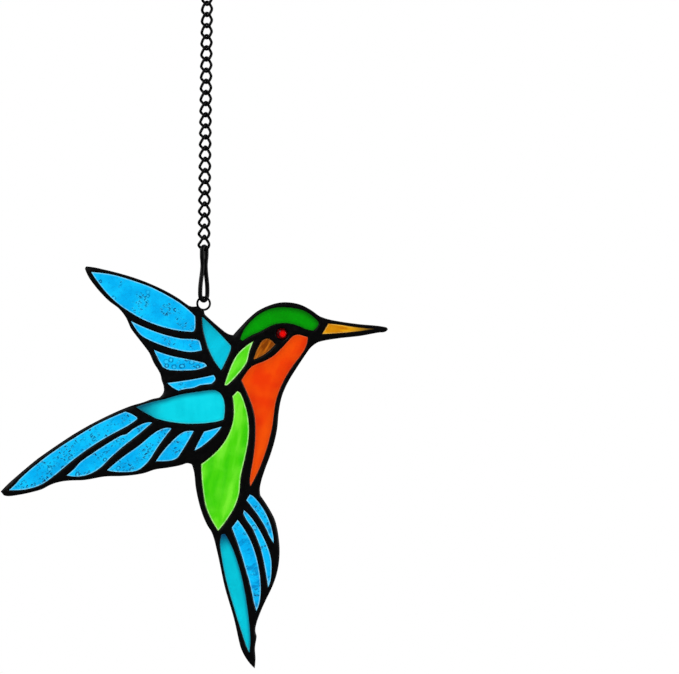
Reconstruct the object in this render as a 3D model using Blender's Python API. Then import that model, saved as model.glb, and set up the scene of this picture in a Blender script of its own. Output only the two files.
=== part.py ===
"""A hummingbird of coloured glass panes soldered together, hung from a long link and a chain.

The bird is flat and faces -Y, with its beak towards +X. The origin is where the top ring
bears on the hook that holds it up, and everything else hangs plumb below that point.
"""
import math

import bmesh
import bpy
from mathutils import Matrix, Vector
from mathutils.geometry import interpolate_bezier

# Sizes of the bird, in metres
BIRD_HEIGHT = 0.172
GLASS_THICKNESS = 0.003
SOLDER_RISE = 0.0009
SOLDER_LIP = 0.00035
SOLDER_SLOPE = 0.0004
# How much further the solder spreads on each side than the pattern draws it
SOLDER_SPREAD = 0.00012
CLEARANCE = 0.00025

# Sizes of the ring that is soldered to the bird, and of the long link that hooks into it
HANGING_RING_DIAMETER = 0.0064
HANGING_RING_WIRE = 0.00095
HOOK_LENGTH = 0.0254
HOOK_WIRE = 0.00175
HOOK_WAIST_GAP = 0.0005
HOOK_FOOT_WIDTH = 0.0075
HOOK_TURN = math.radians(60)
HOOK_PLAY = 0.0003
# How far down the long link its shoulder, waist and hip are, as shares of its height
HOOK_SHOULDER = 0.12
HOOK_WAIST = 0.28
HOOK_HIP = 0.70

# Sizes of the chain and of the ring at its top
LINK_COUNT = 24
LINK_LENGTH = 0.00704
LINK_WIDTH = 0.0054
LINK_WIRE = 0.001
LINK_TWIST = math.radians(45)
# How far the lowest and the highest link are turned about the chain's own line
LOW_LINK_TURN = math.radians(25)
TOP_LINK_TURN = math.radians(-8)
TOP_RING_BORE = 0.009
TOP_RING_WIRE = 0.0012

# Fineness of the facets
OUTLINE_SAG = 0.00012
OUTLINE_BULGE = 0.00025
WIRE_SAG = 0.00008
CURVE_STEPS = 10
LINK_POINTS = 10
RING_POINTS = 18
EYE_POINTS = 16
EYE_BANDS = 6
# A roundness of 1 gives a wire six sides
WIRE_ROUNDNESS = 1
# How many times as far as its sides a sharp corner of an outline moves, at the most
SHARP_CORNER_REACH = 2.0

# The pattern is drawn on squares, counted to the right and downwards. PATTERN_RING is the
# middle of the hanging ring, and the drawing leans a little, so it is turned to hang plumb.
PATTERN_HEIGHT = 400.0
PATTERN_LEAN = math.radians(0.7)
PATTERN_RING = (203.6, 303.5)
PATTERN_EYE = (281.8, 333.7)
EYE_RADIUS = 6.05

# Each outline is a chain of runs. A run starts at a corner and is one smooth curve to the
# corner that starts the next run; a run of one point is straight.
BACK_WING = {
    "back_wing_feather_1": (
        ((90.8, 271.8), (100.4, 273.1), (110, 274), (135.1, 281.1), (155.3, 288.8), (165.5, 294.3),
         (180.5, 303.1)),
        ((195.4, 316), (195.2, 323.2), (195.2, 329.5)),
        ((193, 332), (180, 330.9), (165.1, 327.8), (150.2, 322.8), (135.1, 315.4), (120, 305.5),
         (107.3, 294), (98, 282.5))),
    "back_wing_feather_2": (
        ((130.6, 320.6), (140.4, 324.9), (150.1, 329.4), (170.3, 336), (182.1, 338.5),
         (197, 339.5)),
        ((199.8, 341), (200.8, 345)),
        ((202.3, 350.4), (190, 352.1), (180, 350.6), (164.9, 346.5), (150, 340.5), (141.6, 335.9),
         (135.4, 328.9))),
    "back_wing_feather_3": (
        ((153.5, 349.4), (170.1, 355.3), (180.1, 357.6), (204.8, 363)),
        ((207.3, 366), (200, 369.2), (187, 370.6), (168.5, 369.9)),
        ((162.4, 367), (156.7, 356.7))),
    "back_wing_feather_4": (
        ((166.9, 382.8), (180, 381.1), (200, 377.7), (210, 375.3)),
        ((213.6, 374.8), (215.8, 378.8)),
        ((211.5, 384), (205, 385), (199.6, 385.5), (195.3, 387.5), (185.1, 389.2)),
        ((178.5, 390.9), (176.5, 390))),
    "back_wing_shoulder": (
        ((202.2, 316.3), (215.2, 328.9), (228.2, 342.1)),
        ((231.2, 345.6), (231.1, 348.5), (227.7, 357.4), (224.2, 364.6)),
        ((221.3, 370.8), (212.1, 357.4), (207.6, 347.1), (204.5, 336.5), (202.4, 326))),
}
FRONT_WING = {
    "front_wing_shoulder": (
        ((135.5, 407), (144.9, 404.2), (154.1, 401.1), (163.6, 399.1), (174.9, 395.6),
         (190, 392.6), (205, 390.7), (215, 390), (220, 392.6), (223.6, 398.4), (225.1, 408.3),
         (224.7, 415)),
        ((223.7, 419.8), (216.9, 421.8), (210.2, 422.6), (197, 423.9), (179.9, 423.3),
         (156.1, 418.6), (144.7, 412.4))),
    "front_wing_feather_1": (
        ((8.2, 490.4), (14.6, 484.6), (19.8, 478.7), (44.6, 457.8), (74.9, 437.3), (84.6, 431.8),
         (93.9, 425.7), (104.7, 420.5), (117.7, 414.4)),
        ((125.4, 411.3), (137, 416.9)),
        ((137.8, 419), (129.5, 425), (120.4, 429.8), (90.5, 447.5), (62.7, 468.7), (52.2, 477.6),
         (42.1, 484.3), (30.1, 488.7), (18, 490.4))),
    "front_wing_feather_2": (
        ((66.1, 475.5), (73.8, 468.9), (80.2, 461.9), (104.8, 445.1), (122, 435)),
        ((125.8, 434.2), (140.5, 424.6), (146.5, 422.3)),
        ((152.8, 422.3), (143.9, 430.2), (135, 437.1), (107.7, 460.7), (100.5, 467.9), (92, 473.2),
         (80, 476.6), (72, 476.7))),
    "front_wing_feather_3": (
        ((106.5, 470.4), (125, 455.1), (140, 444.5), (156.6, 431.2)),
        ((162.5, 428.5), (170, 427.7)),
        ((171.9, 428.6), (160, 444.5), (154.1, 452.9), (148.6, 461.6)),
        ((145.4, 464.9), (136.5, 471), (125, 472.3), (115, 472))),
    "front_wing_feather_4": (
        ((155.3, 461.5), (166.6, 446.7), (180.6, 433.4)),
        ((185.1, 431.2),),
        ((194.3, 430.6), (190, 438), (185, 445.9), (180.5, 454), (177.5, 458), (173, 460.3),
         (165, 461.3))),
    "front_wing_feather_5": (
        ((222, 426.3), (212.9, 428.7)),
        ((203.9, 431.5), (200.3, 438.3), (197, 444.5)),
        ((194.2, 450.8), (200.3, 447.7), (205.6, 443.5), (216.1, 434.3))),
}
TAIL = {
    "tail_long": (
        ((225.5, 533.9), (231.4, 544.7), (237.2, 559.6), (243.6, 583.9), (247.9, 608.7),
         (250.3, 632.3), (250.6, 645)),
        ((249.5, 653.4), (246.2, 646.9), (244.1, 639.9), (234.1, 608.3), (227.2, 585.4),
         (221.1, 554.2), (219.8, 542)),
        ((220.7, 536.8), (222.1, 533.8))),
    "tail_feather_1": (
        ((237.7, 519.4), (244.6, 529), (251.6, 542), (256.8, 557.6), (260, 574.4), (260.9, 592),
         (259.5, 603.4)),
        ((256.4, 611.4), (253.7, 602.5), (251.9, 593.4), (242.6, 559.8), (237.2, 542.8)),
        ((231.5, 527.7),)),
    "tail_feather_2": (
        ((244.2, 509.7), (252.7, 518.8), (260.7, 531.7), (267.1, 544.7), (271.5, 560.2),
         (271.3, 575.1), (270.5, 581.5)),
        ((268.1, 587.7), (264.3, 567.7), (260.7, 549.5), (256.8, 539.4), (252.7, 529.4),
         (245.4, 518.6)),
        ((243, 513.1),)),
    "tail_feather_3": (
        ((249.8, 494.2), (252.8, 495.6), (261, 505), (268.4, 517.8), (272.4, 530.5),
         (273.7, 536.9)),
        ((273.7, 543.5), (269.1, 536.1), (265.5, 528.1), (255, 511.7)),
        ((246.1, 500.2),)),
}
BODY = {
    "crown": (
        ((240, 339.5), (244.8, 328.1), (250.6, 321.2), (257.8, 314.8), (265.5, 310.5),
         (274, 307.6), (284, 307), (292.8, 307.9), (301.9, 309.6), (310.8, 314.4), (316.2, 319.1),
         (318.9, 322.6), (318, 326)),
        ((313.3, 330.8), (308.1, 330), (301.5, 327.6), (293.7, 324.6), (284, 323.4),
         (275.1, 324.5), (267.3, 328.1), (259.6, 332.1), (251.6, 335.6)),
        ((243, 341),)),
    "cheek": (
        ((253, 360), (260.8, 342), (264.3, 339.1), (267.9, 338.4), (271.2, 340)),
        ((275.6, 344.3), (264.1, 354.9))),
    "nape": (
        ((253.9, 340.8), (241.2, 349.8), (235.2, 357.1), (231, 365.9), (227.3, 375)),
        ((224.2, 384.8), (227, 385.6), (239.7, 372.7), (245.3, 365.4)),
        ((247.4, 361.6), (250, 350.8))),
    "throat": (
        ((308.1, 337.2), (306.9, 344.5), (302.6, 353.1), (297.4, 360), (288.2, 373.3),
         (281, 387.2), (276.3, 400.4), (274, 415.1), (271.7, 430.6), (265.5, 453), (259.5, 468.8)),
        ((250.4, 486.8), (249.6, 480.5), (250.2, 474.2), (253.6, 454), (255.2, 432.5),
         (254.2, 415.1), (250, 400.4), (245.4, 390.1)),
        ((241.2, 380.3), (251.6, 366.3), (264, 361), (273, 355.9), (287.7, 341.3), (292.5, 336.2),
         (296, 334.6), (301.9, 335.2))),
    "back": (
        ((237.4, 390.7), (240.3, 392.7), (245.2, 404.2), (248.7, 420.4), (248.9, 437.2),
         (245.9, 454.7), (240.5, 479.6), (239.2, 494.5), (234.5, 507.7), (227.3, 519.5)),
        ((218.2, 531.2), (210, 517.3), (205.8, 507.2), (203.6, 496.3), (201.8, 480.8),
         (201.1, 470.2)),
        ((201.1, 463.9), (214.2, 453.3), (222.8, 443.8), (229.7, 431), (233.3, 417.6),
         (233.3, 403.6)),
        ((232.2, 396.1),)),
    "beak": (
        ((328.3, 323.3), (339, 324.4), (350, 326.2), (362, 327.5)),
        ((375.5, 328.8), (345, 332.8), (333, 333.6)),
        ((321.8, 334.3),)),
}

# The outside edge runs from the solder under the ring round the beak, the tail, the front
# wing and the back wing, and back to the ring.
OUTSIDE_EDGE = (
    ((204.6, 314.6), (220, 328.1), (226.1, 333), (229.6, 334.6)),
    ((233.3, 335.3), (239.6, 328.2), (247, 320.8), (254.8, 313.3), (262.1, 308.8), (270.1, 305.4),
     (280, 302.8), (290, 302.7), (300, 304.7), (310.1, 309.7), (320, 316.6), (330, 319.8),
     (350, 323.2), (372, 325.8), (382.9, 326.8)),
    ((386.5, 327.7), (387.5, 329.1), (386.3, 330.8)),
    ((380, 332.2), (358, 336), (335, 338.6), (318, 342), (310.2, 347.7), (300.2, 363),
     (288.9, 380), (281.9, 395.5), (278.4, 412.3), (276.5, 431.1), (270.4, 454.1), (263.1, 474.3),
     (259.6, 488.2)),
    ((260.1, 495.6), (266.5, 505.4), (273.8, 517.8), (278, 535), (279.2, 556.1), (276.9, 572.3),
     (270.5, 590), (266.5, 598), (263.2, 606.2), (257, 620.5), (255, 631)),
    ((256.3, 636.3), (254.8, 645.8), (255, 664)),
    ((254.5, 667.6), (248.1, 660.6), (240.7, 646.4), (238.3, 635), (233.7, 616.2), (225.9, 589.9),
     (220.9, 567.7), (216, 545.5), (211.9, 531.9), (207.8, 525.4), (204.5, 518.5), (198.5, 499.6),
     (195.4, 482.8), (194, 470.2)),
    ((192.1, 464.3), (188, 462.9), (181.8, 464.6), (175.1, 465.9), (165.1, 467.9), (155.2, 469.2),
     (143.5, 473), (125, 475.5), (105, 476.2), (82, 480), (65.1, 480.7), (57.9, 482),
     (50.9, 484.4), (42.3, 488.8), (33, 491.6), (20, 494.1), (8, 495.8)),
    ((4.1, 495),),
    ((1.2, 491.4), (7.4, 484.9), (20.1, 474.3), (40.2, 457.1), (50.7, 450), (59.7, 443.8),
     (70.2, 436.7), (100.1, 419.8), (130.1, 406.4), (145.1, 401.9), (152.9, 399.1),
     (160.3, 397.2)),
    ((164.2, 390.9), (163.8, 385.5), (162, 380.1), (160.8, 374.5), (154.5, 363.5), (149.5, 352.5),
     (143.7, 345.2), (138.2, 337.4), (130.5, 327.2), (126, 317), (119.2, 308.4), (110.2, 301.6),
     (102, 293.7), (95.4, 285.5), (89.1, 277.2)),
    ((85.4, 268.4),),
    ((86.6, 266.7), (90, 267), (110, 271.2), (135, 278.2), (165, 290.9), (180.1, 299.7),
     (190, 306.4)),
)
# Where the round seat under the ring starts and ends, anticlockwise from the right
RING_SEAT_START = math.radians(205)
RING_SEAT_END = math.radians(272)

# Colour, roughness and metallic value of each finish
FINISHES = {
    "blue_glass": ((0.0, 0.40, 1.0), 0.12, 0.0),
    "turquoise_glass": ((0.0, 0.62, 0.80), 0.15, 0.0),
    "lime_glass": ((0.07, 0.65, 0.01), 0.15, 0.0),
    "green_glass": ((0.0, 0.26, 0.0), 0.15, 0.0),
    "brown_glass": ((0.42, 0.08, 0.0), 0.15, 0.0),
    "orange_glass": ((0.85, 0.06, 0.0), 0.15, 0.0),
    "amber_glass": ((0.75, 0.33, 0.0), 0.15, 0.0),
    "red_glass": ((0.60, 0.0, 0.0), 0.05, 0.0),
    "black_solder": ((0.006, 0.005, 0.006), 0.38, 0.9),
    "black_wire": ((0.008, 0.007, 0.008), 0.35, 0.9),
}
PANE_FINISHES = {
    "back_wing_shoulder": "turquoise_glass",
    "front_wing_shoulder": "turquoise_glass",
    "tail_long": "turquoise_glass",
    "crown": "green_glass",
    "cheek": "brown_glass",
    "nape": "lime_glass",
    "back": "lime_glass",
    "throat": "orange_glass",
    "beak": "amber_glass",
}

# Sizes and places that follow from the ones above
SQUARE = BIRD_HEIGHT / PATTERN_HEIGHT
GLASS_FACE = GLASS_THICKNESS / 2
GROOVE_FACE = GLASS_FACE + CLEARANCE
SOLDER_FACE = GLASS_FACE + SOLDER_RISE
SOLDER_SIDE = SOLDER_FACE - SOLDER_SLOPE
EYE_BEAD = EYE_RADIUS * SQUARE
TOP_RING_HEIGHT = -TOP_RING_BORE / 2
TOP_RING_TURN = TOP_LINK_TURN + LINK_TWIST - math.pi / 2
LINK_REACH = (LINK_LENGTH - LINK_WIRE) / 2
LINK_PITCH = LINK_LENGTH - 2 * LINK_WIRE - CLEARANCE
TOP_LINK_HEIGHT = -TOP_RING_BORE + LINK_WIRE / 2 + CLEARANCE - LINK_REACH
LOW_LINK_HEIGHT = TOP_LINK_HEIGHT - (LINK_COUNT - 1) * LINK_PITCH
HOOK_TOP = LOW_LINK_HEIGHT - LINK_REACH + (LINK_WIRE + HOOK_WIRE) / 2 + CLEARANCE
HOOK_BOTTOM = HOOK_TOP - (HOOK_LENGTH - HOOK_WIRE)
HANGING_RING_REACH = (HANGING_RING_DIAMETER - HANGING_RING_WIRE) / 2
HANGING_RING_HEIGHT = (HOOK_BOTTOM + (HOOK_WIRE + HANGING_RING_WIRE) / 2 + HOOK_PLAY
                       - HANGING_RING_REACH)


def clear_scene():
    for item in list(bpy.data.objects):
        bpy.data.objects.remove(item)


def finish(name):
    """The material of that finish, made the first time it is asked for."""
    material = bpy.data.materials.get(name)
    if material is None:
        colour, roughness, metallic = FINISHES[name]
        material = bpy.data.materials.new(name)
        material.use_nodes = True
        shader = material.node_tree.nodes["Principled BSDF"]
        shader.inputs["Base Color"].default_value = (*colour, 1.0)
        shader.inputs["Roughness"].default_value = roughness
        shader.inputs["Metallic"].default_value = metallic
        material.diffuse_color = (*colour, 1.0)
    return material


def place(name, data, finish_name):
    """Put a named object in the scene."""
    item = bpy.data.objects.new(name, data)
    data.materials.append(finish(finish_name))
    bpy.context.scene.collection.objects.link(item)


def mesh_of(name, bm):
    """A mesh of that name from the shape, with its faces turned outwards."""
    bmesh.ops.recalc_face_normals(bm, faces=bm.faces)
    mesh = bpy.data.meshes.new(name)
    bm.to_mesh(mesh)
    bm.free()
    return mesh


def pattern_point(across, down):
    """The place in the bird's plane of a point on the pattern, as (x, z)."""
    right = (across - PATTERN_RING[0]) * SQUARE
    up = (PATTERN_RING[1] - down) * SQUARE
    x = right * math.cos(PATTERN_LEAN) - up * math.sin(PATTERN_LEAN)
    z = right * math.sin(PATTERN_LEAN) + up * math.cos(PATTERN_LEAN)
    return Vector((x, z + HANGING_RING_HEIGHT))


def levelled(handle, chord):
    """The curve's handle, brought near enough to the chord to keep the curve's bulge small."""
    along = handle.project(chord)
    off = handle - along
    most = OUTLINE_BULGE * 4 / 3
    return along + off * min(most / max(off.length, most), 1)


def smooth_run(points):
    """Close points along one smooth curve through the given points, ends included."""
    chords = [after - before for before, after in zip(points, points[1:])]
    slopes = []
    for one, two in zip(chords, chords[1:]):
        slope = one.normalized() * two.length + two.normalized() * one.length
        slopes.append(slope / (one.length + two.length))
    if not slopes:
        return list(points)
    slopes.insert(0, 2 * chords[0].normalized() - slopes[0])
    slopes.append(2 * chords[-1].normalized() - slopes[-1])
    curve = []
    for index, chord in enumerate(chords):
        start, end = points[index], points[index + 1]
        reach = chord.length / 3
        pull = levelled(slopes[index] * reach, chord)
        push = levelled(slopes[index + 1] * reach, chord)
        curve += interpolate_bezier(start, start + pull, end - push, end, CURVE_STEPS)[:-1]
    return curve + [points[-1]]


def thinned(points, sag):
    """The fewest of the points that keep every chord within the sag of the curve."""
    chord = points[-1] - points[0]
    widest, farthest = 0.0, None
    for index in range(1, len(points) - 1):
        arm = points[index] - points[0]
        along = arm.project(chord) if chord.length > 0 else 0 * arm
        if (arm - along).length > widest:
            widest, farthest = (arm - along).length, index
    if widest <= sag:
        return [points[0], points[-1]]
    first = thinned(points[:farthest + 1], sag)
    return first[:-1] + thinned(points[farthest:], sag)


def anticlockwise(points):
    """The same closed loop, turned anticlockwise as seen from the front."""
    area = sum(one.x * two.y - two.x * one.y for one, two in zip(points, points[1:] + points[:1]))
    return points if area > 0 else points[::-1]


def outline(runs):
    """A closed loop of (x, z) points through the runs of an outline."""
    loop = []
    for run, next_run in zip(runs, runs[1:] + runs[:1]):
        corners = [*run, next_run[0]]
        loop += thinned(smooth_run(corners), OUTLINE_SAG)[:-1]
    return anticlockwise(loop)


def pane_outline(runs):
    """The edge of the opening in which a pane shows."""
    loop = outline([[pattern_point(*point) for point in run] for run in runs])
    return moved_out(loop, -SOLDER_SPREAD)


def outside_outline():
    """The solder's outside edge, with a round seat that clears the hanging ring."""
    runs = [[pattern_point(*point) for point in run] for run in OUTSIDE_EDGE]
    radius = HANGING_RING_DIAMETER / 2 + CLEARANCE + SOLDER_SPREAD
    seat = []
    for step in range(CURVE_STEPS + 1):
        turn = RING_SEAT_START + (RING_SEAT_END - RING_SEAT_START) * step / CURVE_STEPS
        seat.append(Vector((radius * math.cos(turn),
                            radius * math.sin(turn) + HANGING_RING_HEIGHT)))
    return moved_out(outline([*runs, seat[:-1], seat[-1:]]), SOLDER_SPREAD)


def moved_out(loop, distance):
    """The loop moved outwards point by point. A sharp corner moves less than its mitre."""
    moved = []
    for index, point in enumerate(loop):
        before = (point - loop[index - 1]).normalized()
        after = (loop[(index + 1) % len(loop)] - point).normalized()
        side = Vector((before.y + after.y, -before.x - after.x)).normalized()
        facing = before.y * side.x - before.x * side.y
        reach = 1 / max(facing, 1 / SHARP_CORNER_REACH)
        moved.append(point + side * distance * reach)
    return moved


def wall(bm, loop, steps):
    """A closed wall round a loop, one band for each pair of steps of (move out, depth).

    Gives the edges of its first and its last rim.
    """
    rims = []
    for distance, depth in steps:
        rims.append([bm.verts.new((x, depth, z)) for x, z in moved_out(loop, distance)])
    for rim, next_rim in zip(rims, rims[1:]):
        for index, vertex in enumerate(rim):
            bm.faces.new((rim[index - 1], vertex, next_rim[index], next_rim[index - 1]))
    return [[bm.edges.get((rim[index - 1], vertex)) for index, vertex in enumerate(rim)]
            for rim in (rims[0], rims[-1])]


def fill(bm, edges, facing):
    """Close the flat area between the rims."""
    bmesh.ops.triangle_fill(bm, edges=edges, use_beauty=True, normal=(0, facing, 0))


def make_pane(name, runs):
    """A pane of sheet glass, whose edge lies in the groove of the solder."""
    bm = bmesh.new()
    steps = ((SOLDER_LIP, -GLASS_FACE), (SOLDER_LIP, GLASS_FACE))
    front, back = wall(bm, pane_outline(runs), steps)
    fill(bm, front, -1)
    fill(bm, back, 1)
    place(name, mesh_of(name, bm), PANE_FINISHES.get(name, "blue_glass"))


def make_eye():
    """A round glass bead."""
    bm = bmesh.new()
    bmesh.ops.create_uvsphere(bm, u_segments=EYE_POINTS, v_segments=EYE_BANDS, radius=EYE_BEAD)
    facing_front = Matrix.Rotation(math.pi / 2, 3, "X")
    bmesh.ops.rotate(bm, verts=bm.verts, matrix=facing_front)
    x, z = pattern_point(*PATTERN_EYE)
    bmesh.ops.translate(bm, verts=bm.verts, vec=(x, 0, z))
    mesh = mesh_of("eye", bm)
    mesh.shade_smooth()
    place("eye", mesh, "red_glass")


def eye_opening():
    """The round opening whose lip clears the bead, and how deep its groove is."""
    radius = math.sqrt(max(EYE_BEAD ** 2 - GROOVE_FACE ** 2, 0)) + CLEARANCE
    middle = pattern_point(*PATTERN_EYE)
    turns = [math.tau * step / EYE_POINTS for step in range(EYE_POINTS)]
    loop = [middle + Vector((math.cos(turn), math.sin(turn))) * radius for turn in turns]
    return loop, EYE_BEAD + CLEARANCE - radius


def make_solder_web(panes):
    """The solder between and around the panes, with a groove round each opening."""
    bm = bmesh.new()
    rims = [wall(bm, outside_outline(), ((-SOLDER_SLOPE, -SOLDER_FACE), (0, -SOLDER_SIDE),
                                         (0, SOLDER_SIDE), (-SOLDER_SLOPE, SOLDER_FACE)))]
    openings = [(pane_outline(runs), SOLDER_LIP + CLEARANCE) for runs in panes.values()]
    for loop, groove in [*openings, eye_opening()]:
        rims.append(wall(bm, loop, ((SOLDER_SLOPE, -SOLDER_FACE), (0, -GROOVE_FACE),
                                    (groove, -GROOVE_FACE), (groove, GROOVE_FACE),
                                    (0, GROOVE_FACE), (SOLDER_SLOPE, SOLDER_FACE))))
    fill(bm, [edge for front, back in rims for edge in front], -1)
    fill(bm, [edge for front, back in rims for edge in back], 1)
    place("solder_web", mesh_of("solder_web", bm), "black_solder")


def make_wire(name, path, diameter):
    """A closed loop of round wire along the path."""
    curve = bpy.data.curves.new(name, "CURVE")
    curve.dimensions = "3D"
    curve.bevel_depth = diameter / 2
    curve.bevel_resolution = WIRE_ROUNDNESS
    spline = curve.splines.new("POLY")
    spline.points.add(len(path) - 1)
    for point, place_on_path in zip(spline.points, path):
        point.co = (*place_on_path, 1)
    spline.use_cyclic_u = True
    place(name, curve, "black_wire")


def upright(points, turn):
    """The same flat (across, up) points standing on edge, turned about the vertical."""
    return [(across * math.cos(turn), across * math.sin(turn), up) for across, up in points]


def ring_path(reach, height):
    turns = [math.tau * step / RING_POINTS for step in range(RING_POINTS)]
    return [(reach * math.sin(turn), height + reach * math.cos(turn)) for turn in turns]


def link_path(height, turned):
    """An oval that is twisted one way at its top and the other way at its foot."""
    path = []
    for step in range(LINK_POINTS):
        turn = math.tau * step / LINK_POINTS
        across = (LINK_WIDTH - LINK_WIRE) / 2 * math.sin(turn)
        twist = turned + LINK_TWIST * math.cos(turn)
        path.append((across * math.cos(twist), across * math.sin(twist),
                     height + LINK_REACH * math.cos(turn)))
    return path


def hook_path():
    """A long loop, round at both ends and narrow at its waist."""
    top = (LINK_WIRE + HOOK_WIRE) / 2 + 2 * CLEARANCE
    waist = (HOOK_WIRE + HOOK_WAIST_GAP) / 2
    foot = (HOOK_FOOT_WIDTH - HOOK_WIRE) / 2
    drop = HOOK_TOP - HOOK_BOTTOM
    slant = math.sqrt(0.5)
    leg = [(0, HOOK_TOP), (top * slant, HOOK_TOP - top * (1 - slant)), (top, HOOK_TOP - top),
           (top, HOOK_TOP - HOOK_SHOULDER * drop), (waist, HOOK_TOP - HOOK_WAIST * drop),
           (foot, HOOK_TOP - HOOK_HIP * drop), (foot, HOOK_BOTTOM + foot),
           (foot * slant, HOOK_BOTTOM + foot * (1 - slant)), (0, HOOK_BOTTOM)]
    leg = thinned(smooth_run([Vector(point) for point in leg]), WIRE_SAG)
    other_leg = [Vector((-point.x, point.y)) for point in leg[-2:0:-1]]
    return leg + other_leg


def build():
    clear_scene()
    panes = {**BACK_WING, **FRONT_WING, **BODY, **TAIL}
    for name, runs in panes.items():
        make_pane(name, runs)
    make_eye()
    make_solder_web(panes)
    hanging_ring = ring_path(HANGING_RING_REACH, HANGING_RING_HEIGHT)
    make_wire("hanging_ring", upright(hanging_ring, 0), HANGING_RING_WIRE)
    make_wire("hook_link", upright(hook_path(), HOOK_TURN), HOOK_WIRE)
    for number in range(LINK_COUNT):
        share = number / (LINK_COUNT - 1)
        height = LOW_LINK_HEIGHT + share * (TOP_LINK_HEIGHT - LOW_LINK_HEIGHT)
        turned = LOW_LINK_TURN + share * (TOP_LINK_TURN - LOW_LINK_TURN)
        make_wire(f"chain_link_{number + 1:02d}", link_path(height, turned), LINK_WIRE)
    top_ring = ring_path((TOP_RING_BORE + TOP_RING_WIRE) / 2, TOP_RING_HEIGHT)
    make_wire("top_ring", upright(top_ring, TOP_RING_TURN), TOP_RING_WIRE)


build()
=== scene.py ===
"""A suncatcher: a flat hummingbird of coloured glass in black solder, hung from a curb chain."""
import math

import bmesh
import bpy
import numpy as np
from mathutils import Matrix, Vector, noise
from mathutils.geometry import delaunay_2d_cdt, interpolate_bezier


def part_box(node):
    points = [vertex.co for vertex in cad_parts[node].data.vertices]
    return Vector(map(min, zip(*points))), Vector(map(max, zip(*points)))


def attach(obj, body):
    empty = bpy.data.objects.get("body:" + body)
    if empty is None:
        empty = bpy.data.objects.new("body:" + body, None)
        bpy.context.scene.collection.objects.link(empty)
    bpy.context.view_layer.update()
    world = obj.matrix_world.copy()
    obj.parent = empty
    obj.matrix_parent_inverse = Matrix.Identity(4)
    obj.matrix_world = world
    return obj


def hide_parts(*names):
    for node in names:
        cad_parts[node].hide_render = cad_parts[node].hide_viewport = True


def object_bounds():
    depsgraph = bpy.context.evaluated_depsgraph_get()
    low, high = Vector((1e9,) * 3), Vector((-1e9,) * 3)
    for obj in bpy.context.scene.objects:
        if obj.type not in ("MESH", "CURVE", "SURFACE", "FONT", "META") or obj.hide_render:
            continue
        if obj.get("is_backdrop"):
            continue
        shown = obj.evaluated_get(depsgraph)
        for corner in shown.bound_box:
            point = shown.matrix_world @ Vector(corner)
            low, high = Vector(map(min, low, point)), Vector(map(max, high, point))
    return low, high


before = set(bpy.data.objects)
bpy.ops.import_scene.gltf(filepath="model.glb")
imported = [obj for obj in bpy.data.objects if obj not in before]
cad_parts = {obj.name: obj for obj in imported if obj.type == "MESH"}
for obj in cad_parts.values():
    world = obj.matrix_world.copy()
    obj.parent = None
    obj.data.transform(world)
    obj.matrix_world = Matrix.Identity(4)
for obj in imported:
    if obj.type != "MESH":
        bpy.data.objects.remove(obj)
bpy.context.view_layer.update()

MM = 0.001

# Sizes of the glass and the solder, as the frame has them
GLASS_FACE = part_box("back")[1].y
SOLDER_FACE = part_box("solder_web")[1].y
GROOVE_FACE = GLASS_FACE + 0.25 * MM
SOLDER_SIDE = SOLDER_FACE - 0.4 * MM
LIP = 0.35 * MM
GROOVE = 0.4 * MM

# Sizes of the wires
RING_WIRE = 0.95 * MM
RING_DIAMETER = 6.4 * MM
RING_SEAT_GAP = 0.3 * MM
HOOK_WIRE = 1.9 * MM
HOOK_HEAD = 1.78 * MM
HOOK_WAIST = 1.2 * MM
HOOK_FOOT = 2.87 * MM
HOOK_TURN = math.radians(60)
LINK_WIRE = 1.2 * MM
LINK_REACH = 3.03 * MM
LINK_HALF_WIDTH = 2.0 * MM
LINK_TAPER = 0.2
LINK_CORNER = math.radians(248)
LINK_CORNER_REACH = 0.45 * MM
LINK_CORNER_WIDTH = 0.28
LINK_STEPS = 32
LINK_TWIST = math.radians(45)
LINK_COUNT = 24
LOW_LINK_TURN = math.radians(25)
TOP_LINK_TURN = math.radians(-8)
TOP_RING_BORE = 9.0 * MM
TOP_RING_TURN = TOP_LINK_TURN + LINK_TWIST - math.pi / 2

# Fineness of the sheets. A row of points follows each edge of the solder, and several rows
# follow the part of a pane's rim that shows. The other points keep a gap to those rows.
# A pane is flat at the solder's lip, and its ripples reach their full height further in.
RIM_STEP = 0.4 * MM
SOLDER_STEP = 0.42 * MM
SOLDER_ROW = 0.16 * MM
SOLDER_ROW_GAP = 0.13 * MM
SOLDER_GAP = 0.26 * MM
GLASS_STEP = 0.62 * MM
GLASS_ROWS = (0, 0.14 * MM, 0.3 * MM, 0.6 * MM)
GLASS_ROW_GAP = 0.1 * MM
GLASS_GAP = 0.4 * MM
RIPPLE_RISE = 1.2 * MM
# The outlines are curves whose straight sides in the frame keep within this distance of them.
# A point that turns by more than such a curve can, or by more than the sharp turn, is a corner.
CHORD_SAG = 0.12 * MM
CORNER_SAG = 0.15 * MM
SLIGHT_TURN = math.radians(18)
SHARP_TURN = math.radians(58)

# How the solder stands: its share of a half round, its height where it is broad, and how far
# from the middle plane it starts at its outside edge, at a pane and at the ring
BEAD_ROUNDNESS = 0.95
BEAD_CROWN = 0.86 * MM
EDGE_FACE = 1.0 * MM
LIP_FACE = GLASS_FACE + 0.01 * MM
RING_FILLET = 0.4 * RING_WIRE

# The eye: the solder's opening and seat for it, how far out its bead is ground, as a share of
# its radius, and how much of the cap's height is left
EYE_SIDES = 40
EYE_RIM = 2.42 * MM
EYE_GAP = 0.03 * MM
EYE_SEAT = 0.3
EYE_FLAT = 0.72
EYE_FLATNESS = 0.7


def colour(red, green, blue):
    """A colour given on the usual scale of 0 to 255, as the shaders want it."""
    parts = [value / 255 for value in (red, green, blue)]
    linear = [part / 12.92 if part <= 0.04045 else ((part + 0.055) / 1.055) ** 2.4
              for part in parts]
    return (*linear, 1.0)


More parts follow.
